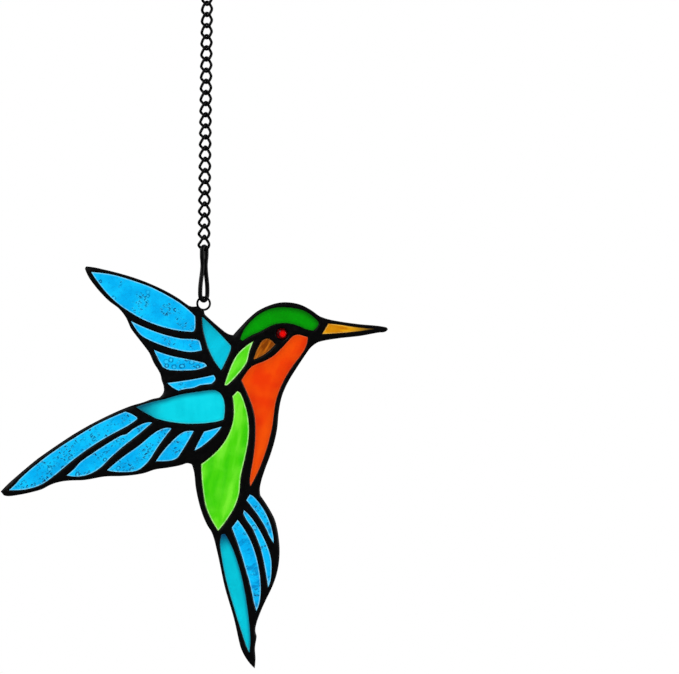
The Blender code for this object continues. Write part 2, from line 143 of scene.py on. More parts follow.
def middle_of(name):
    """The middle of a CAD node's box."""
    low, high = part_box(name)
    return (low + high) / 2


# Outlines, as loops of (x, z) points in the bird's plane


def merged(name):
    """A copy of a CAD node's shape with its loose triangles joined."""
    shape = bmesh.new()
    shape.from_mesh(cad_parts[name].data)
    bmesh.ops.remove_doubles(shape, verts=shape.verts, dist=0.001 * MM)
    return shape


def rims(name, depth, leads):
    """The loops of edges at that depth whose faces lead on to the front (-1) or the back (1)."""
    near = 0.002 * MM
    shape = merged(name)
    following = {}
    for edge in shape.edges:
        if any(abs(vertex.co.y - depth) > near for vertex in edge.verts):
            continue
        leading = [face for face in edge.link_faces
                   if any((vertex.co.y - depth) * leads > near for vertex in face.verts)]
        if leading:
            one, two = edge.verts
            following.setdefault(one, []).append(two)
            following.setdefault(two, []).append(one)
    loops = []
    while following:
        start = next(iter(following))
        loop, here = [], start
        while here in following:
            loop.append(Vector((here.co.x, here.co.z)))
            ahead = following.pop(here)
            here = next((vertex for vertex in ahead if vertex in following), start)
        loops.append(anticlockwise(loop))
    shape.free()
    return loops


def area_of(loop):
    """The loop's area, below zero where the loop runs clockwise."""
    return sum(one.x * two.y - two.x * one.y for one, two in zip(loop, loop[1:] + loop[:1])) / 2


def anticlockwise(loop):
    return loop if area_of(loop) > 0 else loop[::-1]


def smoothed(loop, step):
    """The loop as a smooth curve through its points, with its sharp corners kept."""
    count = len(loop)
    chords = [loop[(index + 1) % count] - loop[index] for index in range(count)]
    ways = []
    for before, after in zip([chords[-1], *chords], chords):
        way = before.normalized() * after.length + after.normalized() * before.length
        turn = before.angle(after)
        spare = turn * min(before.length, after.length) / 8
        corner = turn > SHARP_TURN or (turn > SLIGHT_TURN and spare > CORNER_SAG)
        ways.append(None if corner else way)
    curve = []
    for index, chord in enumerate(chords):
        start, end = loop[index], loop[(index + 1) % count]
        bends = [bend(way, chord) for way in (ways[index], ways[(index + 1) % count])]
        leaving = bends[0] if bends[0] is not None else -(bends[1] or 0)
        arriving = bends[1] if bends[1] is not None else -(bends[0] or 0)
        side = Vector((-chord.y, chord.x))
        pull = (chord + side * leaving) / 3
        push = (chord + side * arriving) / 3
        pieces = max(2, math.ceil(chord.length / step) + 1)
        curve += interpolate_bezier(start, start + pull, end - push, end, pieces)[:-1]
    return curve


def bend(way, chord):
    """How far the way bends off the chord, and no more than lets the curve keep near to it."""
    if way is None:
        return None
    most = min(4 * CHORD_SAG / chord.length, 1)
    along = chord.x * way.x + chord.y * way.y
    across = chord.x * way.y - chord.y * way.x
    return min(max(across / max(along, 1e-12), -most), most)


def moved_out(loop, distance):
    """The loop moved outwards point by point, and at a sharp corner no further than twice."""
    moved = []
    for index, point in enumerate(loop):
        before = (point - loop[index - 1]).normalized()
        after = (loop[(index + 1) % len(loop)] - point).normalized()
        side = Vector((before.y + after.y, -before.x - after.x)).normalized()
        facing = before.y * side.x - before.x * side.y
        moved.append(point + side * distance / max(facing, 0.5))
    return moved


def rim_places(points, loop):
    """For each point, the nearest place on the loop."""
    start = np.array(loop)
    along = np.roll(start, -1, axis=0) - start
    squared = (along ** 2).sum(1)
    nearest = np.empty_like(points)
    for index, point in enumerate(points):
        share = np.clip(((point - start) * along).sum(1) / squared, 0, 1)
        places = start + along * share[:, None]
        nearest[index] = places[((places - point) ** 2).sum(1).argmin()]
    return nearest


def inside(points, loop):
    """Which of the points lie inside the loop."""
    start = np.array(loop)
    end = np.roll(start, -1, axis=0)
    rise = end[:, 1] - start[:, 1]
    rise[rise == 0] = 1e-12
    found = np.zeros(len(points), bool)
    for index, (x, z) in enumerate(points):
        spans = (start[:, 1] > z) != (end[:, 1] > z)
        crossing = start[:, 0] + (z - start[:, 1]) / rise * (end[:, 0] - start[:, 0])
        found[index] = np.count_nonzero(spans & (crossing > x)) % 2
    return found


# Flat sheets of even triangles


def lattice(loops, step):
    """Points on an even triangular grid within the loops, clear of their edges."""
    start = np.concatenate([np.array(loop) for loop in loops])
    end = np.concatenate([np.roll(np.array(loop), -1, axis=0) for loop in loops])
    low, high = start[:, 1].min(), start[:, 1].max()
    points = []
    for row in range(math.ceil((high - low) / (step * math.sqrt(0.75)))):
        z = low + (row + 0.5) * step * math.sqrt(0.75)
        spans = (start[:, 1] > z) != (end[:, 1] > z)
        one, two = start[spans], end[spans]
        crossings = np.sort(one[:, 0] + (z - one[:, 1]) / (two[:, 1] - one[:, 1])
                            * (two[:, 0] - one[:, 0]))
        for left, right in zip(crossings[::2], crossings[1::2]):
            first = math.ceil(left / step - 0.5 * (row % 2))
            last = math.floor(right / step - 0.5 * (row % 2))
            points += [((column + 0.5 * (row % 2)) * step, z)
                       for column in range(first, last + 1)]
    return points


def clear_of(points, others, gap):
    """The points that keep that gap to all the others."""
    cells = {}
    for x, z in others:
        cells.setdefault((math.floor(x / gap), math.floor(z / gap)), []).append((x, z))
    kept = []
    for x, z in points:
        column, row = math.floor(x / gap), math.floor(z / gap)
        near = [other for across in (-1, 0, 1) for up in (-1, 0, 1)
                for other in cells.get((column + across, row + up), ())]
        if all((x - a) ** 2 + (z - b) ** 2 >= gap * gap for a, b in near):
            kept.append((x, z))
    return kept


def sheet(loops, extra_points):
    """A flat sheet inside the first loop and outside the others, as points and triangles.

    The points start with those of the loops, in their order.
    """
    points = [Vector(point) for loop in loops for point in loop]
    edges, first = [], 0
    owner = []
    for number, loop in enumerate(loops):
        edges += [(first + index, first + (index + 1) % len(loop)) for index in range(len(loop))]
        first += len(loop)
        owner += [number] * len(loop)
    points += [Vector(point) for point in extra_points]
    owner += [-1 - index for index in range(len(extra_points))]
    places, _, faces, sources, _, _ = delaunay_2d_cdt(points, edges, [], 0, 1e-8)
    owner = np.array([owner[source[0]] for source in sources])
    order = np.argsort([source[0] for source in sources], kind="stable")
    renumbered = np.empty(len(order), int)
    renumbered[order] = np.arange(len(order))
    places = np.array([places[index] for index in order])
    owner = owner[order]
    triangles = renumbered[np.array([face for face in faces])]
    one, two, three = (places[triangles[:, corner]] for corner in range(3))
    turned = np.cross(two - one, three - one) < 0
    triangles[turned] = triangles[turned][:, ::-1]
    kept = np.ones(len(triangles), bool)
    owners = owner[triangles]
    for number, loop in enumerate(loops):
        doubtful = np.nonzero((owners == number).all(1))[0]
        centres = places[triangles[doubtful]].mean(1)
        within = inside(centres, loop)
        kept[doubtful] = within if number == 0 else ~within
    return places, triangles[kept]


# The height of the solder, which its own surface tension rounds between its edges


def film(places, triangles, load, fixed, values):
    """A film stretched over the sheet under that load, held at the given values."""
    one, two, three = (places[triangles[:, corner]] for corner in range(3))
    doubled = np.abs(np.cross(two - one, three - one))
    weights, heads, tails = [], [], []
    for corner in range(3):
        here, left, right = (triangles[:, (corner + turn) % 3] for turn in range(3))
        arms = places[left] - places[here], places[right] - places[here]
        weights.append((arms[0] * arms[1]).sum(1) / doubled / 2)
        heads.append(left)
        tails.append(right)
    weight = np.concatenate(weights)
    head, tail = np.concatenate(heads), np.concatenate(tails)
    count = len(places)
    share = np.bincount(triangles.ravel(), np.repeat(doubled / 6, 3), count)

    def pull(height):
        """How hard the film pulls each of its points."""
        flow = weight * (height[head] - height[tail])
        return np.bincount(head, flow, count) - np.bincount(tail, flow, count)

    stiffness = np.bincount(head, weight, count) + np.bincount(tail, weight, count)
    height = np.where(fixed, values, 0.0)
    rest = np.where(fixed, 0.0, load * share - pull(height))
    scaled = rest / stiffness
    way, size = scaled.copy(), rest @ scaled
    for _ in range(600):
        pulled = np.where(fixed, 0.0, pull(way))
        stride = size / (way @ pulled)
        height += stride * way
        rest -= stride * pulled
        if np.abs(rest).max() < 1e-7 * load * share.max() + 1e-12:
            break
        scaled = rest / stiffness
        size, last = rest @ scaled, size
        way = scaled + way * size / last
    return height


# Pieces


def piece_from(name, points, faces, node_names, finish):
    """A piece with that mesh, which rides on the frame and stands for its CAD nodes."""
    mesh = bpy.data.meshes.new(name)
    mesh.from_pydata([tuple(point) for point in points], [], [tuple(face) for face in faces])
    piece = bpy.data.objects.new(name, mesh)
    bpy.context.scene.collection.objects.link(piece)
    return finished(piece, name, node_names, finish)


def finished(piece, name, node_names, finish):
    """The piece under its name, with its finish and its tie to the frame."""
    piece.name = name
    piece.data.name = name
    piece.data.materials.clear()
    piece.data.materials.append(finish)
    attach(piece, "root")
    if node_names:
        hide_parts(*node_names)
    return piece


def only(piece):
    """Select that piece alone."""
    bpy.ops.object.select_all(action="DESELECT")
    piece.select_set(True)
    bpy.context.view_layer.objects.active = piece


def smooth(piece, degrees):
    """Shade the piece smooth, but for edges sharper than that."""
    only(piece)
    bpy.ops.object.shade_smooth_by_angle(angle=math.radians(degrees))


def solder_loops():
    """The solder's outside edge, which reaches the ring, and the edges of its openings."""
    outside = smoothed(max(rims("solder_web", -SOLDER_SIDE, -1), key=area_of), RIM_STEP)
    ring = middle_of("hanging_ring")
    ring_middle = Vector((ring.x, ring.z))
    seat = RING_DIAMETER / 2 + RING_SEAT_GAP
    wetted = []
    for index, point in enumerate(outside):
        arm = point - ring_middle
        if arm.length < seat:
            outside[index] = ring_middle + arm.normalized() * (RING_DIAMETER - RING_WIRE) / 2
            wetted.append(index)
    openings = [smoothed(loop, RIM_STEP) for loop in rims("solder_web", -GROOVE_FACE, -1)]
    eye = middle_of("eye")
    eye_middle = Vector((eye.x, eye.z))
    openings = [loop for loop in openings if (sum(loop, Vector((0, 0))) / len(loop)
                                              - eye_middle).length > 1 * MM]
    turns = [math.tau * step / EYE_SIDES for step in range(EYE_SIDES)]
    openings.append([eye_middle + Vector((math.cos(turn), math.sin(turn))) * EYE_RIM
                     for turn in turns])
    return outside, wetted, openings, eye_middle


def solder_sheet(loops):
    """The flat sheet between the solder's edges."""
    rim_points = [tuple(point) for loop in loops for point in loop]
    row = []
    for number, loop in enumerate(loops):
        distance = -SOLDER_ROW if number == 0 else SOLDER_ROW
        row += [tuple(point) for point in moved_out(loop, distance)]
    row = clear_of(row, rim_points, SOLDER_ROW_GAP)
    grid = clear_of(lattice(loops, SOLDER_STEP), rim_points + row, SOLDER_GAP)
    return sheet(loops, row + grid)


def solder_side(side, places, base, bead):
    """The corners of the solder's front (-1) or back (1), where the bead runs a little uneven."""
    depth = []
    for (x, z), low, high in zip(places, base, bead):
        spot = Vector((x, side, z)) / MM
        run = 0.10 * noise.noise(spot * 0.45) + 0.05 * noise.noise(spot * 1.3)
        depth.append(side * (low + high * (1 + run)))
    depth = np.clip(depth, -SOLDER_FACE, SOLDER_FACE)
    return np.column_stack((places[:, 0], depth, places[:, 1]))


def groove_rows(loop):
    """The two inner corners of the groove that holds a pane."""
    groove = moved_out(loop, GROOVE)
    return [[(point.x, depth, point.y) for point in groove] for depth in (-LIP_FACE, LIP_FACE)]


def seat_rows(loop, middle):
    """The round seat of the eye's bead."""
    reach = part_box("eye")[1].y + EYE_GAP
    rows = []
    for turn in np.linspace(-EYE_SEAT, EYE_SEAT, 5):
        arms = [(point - middle) / EYE_RIM * reach * math.cos(turn) for point in loop]
        rows.append([(middle.x + arm.x, reach * math.sin(turn), middle.y + arm.y)
                     for arm in arms])
    return rows


def solder_web():
    """The solder between and round the panes, with a round bead along every seam."""
    outside, wetted, openings, eye_middle = solder_loops()
    loops = [outside, *openings]
    places, triangles = solder_sheet(loops)
    count = sum(len(loop) for loop in loops)
    fixed = np.arange(len(places)) < count
    rim = np.full(len(places), LIP_FACE)
    rim[:len(outside)] = EDGE_FACE
    rim[wetted] = RING_FILLET
    rim[count - len(openings[-1]):count] = EDGE_FACE
    base = film(places, triangles, 0.0, fixed, rim)
    load = film(places, triangles, 1.0, fixed, np.zeros(len(places)))
    bead = BEAD_ROUNDNESS * np.sqrt(2 * np.maximum(load, 0))
    bead = BEAD_CROWN * np.tanh(bead / BEAD_CROWN)

    corners = [*solder_side(-1, places, base, bead), *solder_side(1, places, base, bead)]
    back = len(places)
    faces = [*triangles, *(triangles[:, ::-1] + back)]
    first = 0
    for number, loop in enumerate(loops):
        rows = []
        if number == len(openings):
            rows = seat_rows(loop, eye_middle)
        elif number > 0:
            rows = groove_rows(loop)
        front_ring = list(range(first, first + len(loop)))
        rings = [front_ring]
        for row in rows:
            rings.append(list(range(len(corners), len(corners) + len(loop))))
            corners += row
        rings.append([back + index for index in front_ring])
        for one, two in zip(rings, rings[1:]):
            for index in range(len(loop)):
                after = (index + 1) % len(loop)
                face = (one[index], one[after], two[after], two[index])
                faces.append(face if number == 0 else face[::-1])
        first += len(loop)
    web = piece_from("solder_web_beads", corners, faces, ["solder_web"], SOLDER)
    smooth(web, 62)


def shade_towards(places, nearest, shades):
    """How dark each place is, from 0 to 1, by the edges and ends that the pane is shaded at."""
    dark = np.zeros(len(places))
    away = nearest - places
    distance = np.linalg.norm(away, axis=1)
    facing = away / np.maximum(distance, 1e-9)[:, None]
    for kind, angle, width, strength in shades:
        toward = np.array((math.cos(math.radians(angle)), math.sin(math.radians(angle))))
        if kind == "edge":
            part = np.clip(facing @ toward, 0, 1) * np.clip(1 - distance / (width * MM), 0, 1)
        elif kind == "all":
            part = np.clip(1 - distance / (width * MM), 0, 1)
        else:
            along = places @ toward
            part = np.clip((along - along.max()) / (width * MM) + 1, 0, 1)
        part = part * part * (3 - 2 * part) * strength
        dark = 1 - (1 - dark) * (1 - part)
    return dark


def pane_sheet(outline):
    """A pane's flat sheet, and for each of its points the nearest place on its rim."""
    rim_points = [tuple(point) for point in outline]
    rows = []
    for further in GLASS_ROWS:
        distance = LIP + further
        row = np.array([tuple(point) for point in moved_out(outline, -distance)])
        gaps = np.linalg.norm(rim_places(row, outline) - row, axis=1)
        row = row[(gaps > 0.93 * distance) & inside(row, outline)]
        rows += clear_of([tuple(point) for point in row], rim_points + rows, GLASS_ROW_GAP)
    grid = clear_of(lattice([outline], GLASS_STEP), rim_points + rows, GLASS_GAP)
    places, triangles = sheet([outline], rows + grid)
    return places, triangles, rim_places(places, outline)


def pane(name, finish, ripple, shades=()):
    """A pane of glass with rippled faces. Its foiled edge lies under the solder's lip."""
    outline = smoothed(max(rims(name, -GLASS_FACE, 1), key=area_of), RIM_STEP)
    places, triangles, nearest = pane_sheet(outline)
    distance = np.linalg.norm(nearest - places, axis=1)
    piece = piece_from(f"{name}_pane", [(x, -GLASS_FACE, z) for x, z in places], triangles,
                       [name], finish)
    for title, values in (("rim", (distance - LIP) / MM),
                          ("shade", shade_towards(places, nearest, shades))):
        layer = piece.data.attributes.new(title, "FLOAT", "POINT")
        layer.data.foreach_set("value", values.astype(np.float32))
    group = piece.vertex_groups.new(name="open")
    for index, gap in enumerate(distance - LIP):
        group.add([index], min(max(gap / RIPPLE_RISE, 0), 1), "REPLACE")
    piece.data.materials.append(SOLDER)
    only(piece)
    thick = piece.modifiers.new("thickness", "SOLIDIFY")
    thick.thickness = 2 * GLASS_FACE
    thick.offset = -1
    thick.material_offset_rim = 1
    bpy.ops.object.modifier_apply(modifier=thick.name)
    for title, height in ripple:
        wave = piece.modifiers.new(title, "DISPLACE")
        wave.texture = RIPPLES[title]
        wave.texture_coords = "LOCAL"
        wave.direction = "Y"
        wave.mid_level = 0.5
        wave.strength = height * MM
        wave.vertex_group = "open"
        bpy.ops.object.modifier_apply(modifier=wave.name)
    smooth(piece, 40)


def eye_bead():
    """The glass bead of the eye, ground a little flat on its two faces."""
    low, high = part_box("eye")
    radius = high.y
    bpy.ops.object.select_all(action="DESELECT")
    bpy.ops.mesh.primitive_uv_sphere_add(segments=48, ring_count=32, radius=radius,
                                         location=(low + high) / 2, rotation=(math.pi / 2, 0, 0))
    bead = bpy.context.object
    bpy.ops.object.transform_apply(location=True, rotation=True, scale=True)
    for side in (-1, 1):
        bpy.ops.object.mode_set(mode="EDIT")
        bpy.ops.mesh.select_all(action="DESELECT")
        bpy.ops.object.mode_set(mode="OBJECT")
        for vertex in bead.data.vertices:
            vertex.select = vertex.co.y * side > EYE_FLAT * radius
        bpy.ops.object.mode_set(mode="EDIT")
        edge = (low + high) / 2 + Vector((0, EYE_FLAT * radius * side, 0))
        bpy.ops.transform.resize(value=(1, EYE_FLATNESS, 1), center_override=edge)
        bpy.ops.object.mode_set(mode="OBJECT")
    smooth(bead, 60)
    finished(bead, "eye_bead", ["eye"], EYE_RED)


def half_turn(height, steps):
    """Sweep the selected section half a turn round a bend whose middle is at that height."""
    bpy.ops.mesh.spin(steps=steps, angle=math.pi, center=(0, 0, height), axis=(0, 1, 0))


def follow(start, leg):
    """Draw the selected section out along a leg, whose points are (across, up)."""
    x, z = start
    for next_x, next_z in leg:
        move = {"value": (next_x - x, 0, next_z - z)}
        bpy.ops.mesh.extrude_region_move(TRANSFORM_OT_translate=move)
        x, z = next_x, next_z


def bent_wire(wire, high_bend, left_leg, low_bend, right_leg, sides=12, steps=16):
    """A closed loop of round wire: over its top, down one leg, round its foot and up again.

    A bend is (radius, height of its middle).
    """
    (high, high_z), (low, low_z) = high_bend, low_bend
    bpy.ops.object.select_all(action="DESELECT")
    bpy.ops.mesh.primitive_circle_add(vertices=sides, radius=wire / 2, location=(high, 0, high_z))
    bpy.ops.object.transform_apply(location=True, rotation=True, scale=True)
    loop = bpy.context.object
    bpy.ops.object.mode_set(mode="EDIT")
    bpy.ops.mesh.select_all(action="SELECT")
    half_turn(high_z, steps)
    follow((-high, high_z), left_leg)
    half_turn(low_z, steps)
    follow((low, low_z), right_leg)
    bpy.ops.mesh.select_all(action="SELECT")
    bpy.ops.mesh.remove_doubles(threshold=0.01 * MM)
    bpy.ops.mesh.normals_make_consistent(inside=False)
    bpy.ops.object.mode_set(mode="OBJECT")
    smooth(loop, 60)
    return loop


def put(piece, turned, place):
    """Turn the piece about the vertical and move it to its place."""
    only(piece)
    piece.rotation_euler.z = turned
    piece.location = place
    bpy.ops.object.transform_apply(location=True, rotation=True, scale=True)


def link_way():
    """The places along a curb link's wire, which is an oval with a blunt corner on one side.

    The link is twisted one way at its top and the other way at its foot.
    """
    for step in range(LINK_STEPS):
        turn = math.tau * step / LINK_STEPS
        across, up = math.sin(turn), math.cos(turn)
        corner = math.exp(-((turn - LINK_CORNER) / LINK_CORNER_WIDTH) ** 2)
        reach = LINK_HALF_WIDTH * (1 - LINK_TAPER * up) + LINK_CORNER_REACH * corner
        twist = LINK_TWIST * math.tanh(1.6 * up) / math.tanh(1.6)
        across = math.copysign(abs(across) ** 0.95, across) * reach
        yield across * math.cos(twist), across * math.sin(twist), up * LINK_REACH


def curb_link():
    """A link of round wire, from a circle whose points are moved to its way."""
    bpy.ops.object.select_all(action="DESELECT")
    bpy.ops.curve.primitive_bezier_circle_add(radius=LINK_REACH)
    link = bpy.context.object
    bpy.ops.object.mode_set(mode="EDIT")
    bpy.ops.curve.select_all(action="SELECT")
    bpy.ops.curve.subdivide(number_cuts=LINK_STEPS // 4 - 1)
    bpy.ops.object.mode_set(mode="OBJECT")
    link.data.dimensions = "3D"
    link.data.resolution_u = 2
    for point, place in zip(link.data.splines[0].bezier_points, link_way()):
        point.handle_left_type = point.handle_right_type = "AUTO"
        point.co = place
    link.data.bevel_depth = LINK_WIRE / 2
    link.data.bevel_resolution = 4
    bpy.ops.object.convert(target="MESH")
    bpy.ops.object.mode_set(mode="EDIT")
    bpy.ops.mesh.select_all(action="SELECT")
    bpy.ops.mesh.remove_doubles(threshold=0.001 * MM)
    bpy.ops.mesh.normals_make_consistent(inside=False)
    bpy.ops.object.mode_set(mode="OBJECT")
    smooth(link, 60)
    return link


def chain():
    """A curb chain, whose link is made once and then copied."""
    link = curb_link()
    for number in range(1, LINK_COUNT + 1):
        node_name = f"chain_link_{number:02d}"
        share = (number - 1) / (LINK_COUNT - 1)
        only(link)
        bpy.ops.object.duplicate()
        copy = bpy.context.object
        put(copy, LOW_LINK_TURN + share * (TOP_LINK_TURN - LOW_LINK_TURN), middle_of(node_name))
        finished(copy, f"{node_name}_wire", [node_name], WIRE)
    bpy.data.objects.remove(link)


def hook_link():
    """The long link, round at both ends and pinched at its waist."""
    low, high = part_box("hook_link")
    middle = (low + high) / 2
    top = (high.z - low.z) / 2 - HOOK_WIRE / 2
    head_z, foot_z = top - HOOK_HEAD, HOOK_FOOT - top
    stations = ((0.10, HOOK_HEAD), (0.33, HOOK_WAIST), (0.92, HOOK_FOOT))
    leg = []
    for step in range(1, 24):
        down = step / 24
        across = HOOK_HEAD
        for (start, one), (end, two) in zip(stations, stations[1:]):
            share = min(max((down - start) / (end - start), 0), 1)
            across += (two - one) * share * share * (3 - 2 * share)
        leg.append((across, head_z + (foot_z - head_z) * down))
    left_leg = [(-x, z) for x, z in leg] + [(-HOOK_FOOT, foot_z)]
    right_leg = leg[::-1] + [(HOOK_HEAD, head_z)]
    loop = bent_wire(HOOK_WIRE, (HOOK_HEAD, head_z), left_leg, (HOOK_FOOT, foot_z), right_leg,
                     sides=20, steps=20)
    put(loop, HOOK_TURN, middle)
    finished(loop, "hook_link_wire", ["hook_link"], WIRE)


def hanging_ring():
    """The ring that is soldered to the back wing."""
    reach = (RING_DIAMETER - RING_WIRE) / 2
    ring = bent_wire(RING_WIRE, (reach, 0), [], (reach, 0), [], sides=14, steps=36)
    put(ring, 0, middle_of("hanging_ring"))
    finished(ring, "hanging_ring_wire", ["hanging_ring"], WIRE)


def top_ring():
    """The ring at the chain's top end, with the joint of its wire on one side."""
    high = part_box("top_ring")[1].z
    wire = 0.99 * high
    reach = (TOP_RING_BORE + wire) / 2
    ring = bent_wire(wire, (reach, 0), [], (reach, 0), [], sides=16, steps=60)
    bpy.ops.object.mode_set(mode="EDIT")
    bpy.ops.mesh.select_all(action="DESELECT")
    bpy.ops.object.mode_set(mode="OBJECT")
    for vertex in ring.data.vertices:
        vertex.select = vertex.co.x > 0 and abs(vertex.co.z) < 0.02 * MM
    bpy.ops.object.mode_set(mode="EDIT")
    bpy.ops.transform.resize(value=(0.8, 0.8, 1), center_override=(reach, 0, 0))
    bpy.ops.object.mode_set(mode="OBJECT")
    put(ring, TOP_RING_TURN, (0, 0, high - wire / 2 - reach))
    finished(ring, "top_ring_wire", ["top_ring"], WIRE)


# Materials


def add(tree, kind, wired=None, **settings):
    """A node with its settings. Wired names its inputs and gives a value or a socket to each."""
    node = tree.nodes.new(kind)
    for name, value in settings.items():
        setattr(node, name, value)
    for name, value in (wired or {}).items():
        socket = node.inputs[name]
        if isinstance(value, bpy.types.NodeSocket):
            tree.links.new(value, socket)
        else:
            socket.default_value = value
    return node


def blended(tree, share, one, two):
    """The first colour where the share is 0 and the second where it is 1."""
    node = add(tree, "ShaderNodeMix", {0: share, 6: one, 7: two}, data_type="RGBA")
    return node.outputs[2]


def between(tree, value, low, high, to_low=0.0, to_high=1.0):
    """The value's run from low to high, spread smoothly from to_low to to_high."""
    node = add(tree, "ShaderNodeMapRange", {"Value": value, "From Min": low, "From Max": high,
                                            "To Min": to_low, "To Max": to_high},
               interpolation_type="SMOOTHSTEP")
    return node.outputs["Result"]


def sums(tree, operation, one, two):
    """The operation's result for two values."""
    node = add(tree, "ShaderNodeMath", {0: one, 1: two}, operation=operation)
    return node.outputs[0]


def surface(name):
    """A new material's node tree, its shader and the place on the piece in millimetres."""
    material = bpy.data.materials.new(name)
    material.use_nodes = True
    tree = material.node_tree
    shader = tree.nodes["Principled BSDF"]
    place = add(tree, "ShaderNodeTexCoord")
    scaled = add(tree, "ShaderNodeMapping",
                 {"Vector": place.outputs["Object"], "Scale": (1 / MM, 1 / MM, 1 / MM)})
    return material, tree, shader, scaled.outputs["Vector"]


def cloud(tree, place, scale, detail=2.0, roughness=0.5):
    """Soft random patches, from 0 to 1."""
    node = add(tree, "ShaderNodeTexNoise", {"Vector": place, "Scale": scale, "Detail": detail,
                                            "Roughness": roughness})
    return node.outputs["Fac"]


def stretched(tree, place, angle, scale):
    """The flat place turned by that angle and stretched, for streaks that lie that way."""
    turned = add(tree, "ShaderNodeMapping", {"Vector": place,
                                             "Rotation": (0, 0, math.radians(angle))})
    node = add(tree, "ShaderNodeMapping", {"Vector": turned.outputs["Vector"], "Scale": scale})
    return node.outputs["Vector"]


def bumped(tree, shader, height, strength, distance):
    """Give the shader fine bumps from that height."""
    node = add(tree, "ShaderNodeBump", {"Height": height, "Strength": strength,
                                        "Distance": distance})
    tree.links.new(node.outputs["Normal"], shader.inputs["Normal"])


def glassy(shader, roughness, see_through):
    """Make the shader glass."""
    shader.inputs["Transmission Weight"].default_value = see_through
    shader.inputs["Roughness"].default_value = roughness
    shader.inputs["IOR"].default_value = 1.5


def attribute(tree, name):
    """The value that the pane's mesh carries at each point."""
    return add(tree, "ShaderNodeAttribute", attribute_name=name).outputs["Fac"]


def in_plane(tree, place):
    """The place as seen straight on, so that a pattern runs through the glass to its back."""
    turned = add(tree, "ShaderNodeMapping", {"Vector": place, "Rotation": (math.pi / 2, 0, 0)})
    node = add(tree, "ShaderNodeMapping", {"Vector": turned.outputs["Vector"],
                                           "Scale": (1, 1, 0)})
    return node.outputs["Vector"]


def with_rim(tree, shader, body, pale, dark, place, width=0.5):
    """The glass colour with painted shade at its edges, and a pale line of painted light just
    inside the solder.
    """
    shaded = blended(tree, attribute(tree, "shade"), body, dark)
    # A pale line of painted light just inside the solder, dimmer where the painted shade lies
    line = between(tree, attribute(tree, "rim"), 0.4 * width, width, 1.0, 0.0)
    uneven = between(tree, cloud(tree, place, 0.55), 0.3, 0.6, 0.35, 1.0)
    shown = sums(tree, "MULTIPLY", line, uneven)
    lit = between(tree, attribute(tree, "shade"), 0, 0.6, 0.8, 0.1)
    shown = sums(tree, "MULTIPLY", shown, lit)
    tree.links.new(blended(tree, shown, shaded, pale), shader.inputs["Base Color"])


def laid_over(tree, body, share, most, tone):
    """The body colour with another tone over it, at most by that much."""
    return blended(tree, sums(tree, "MULTIPLY", share, most), body, tone)


def stirred(tree, place, scale, reach):
    """The place shifted about at random, for marks that aren't quite round or straight."""
    stir = add(tree, "ShaderNodeTexNoise", {"Vector": place, "Scale": scale, "Detail": 1.0})
    node = add(tree, "ShaderNodeVectorMath",
               {0: stir.outputs["Color"], 1: (reach, reach, 0), 2: place},
               operation="MULTIPLY_ADD")
    return node.outputs["Vector"]


def cells(tree, place, scale, share, small, large):
    """Spots at random places, of random sizes, of which only that share is kept.

    Gives how far each place is from its spot's edge, and how much its spot counts.
    """
    spots = add(tree, "ShaderNodeTexVoronoi", {"Vector": place, "Scale": scale},
                voronoi_dimensions="2D")
    chance = add(tree, "ShaderNodeSeparateColor", {"Color": spots.outputs["Color"]})
    size = between(tree, chance.outputs["Green"], 0, 1, small, large)
    away = sums(tree, "SUBTRACT", spots.outputs["Distance"], size)
    kept = between(tree, chance.outputs["Red"], 1 - share, 1.04 - share)
    weight = between(tree, chance.outputs["Blue"], 0, 1, 0.5, 1.0)
    return away, sums(tree, "MULTIPLY", kept, weight)


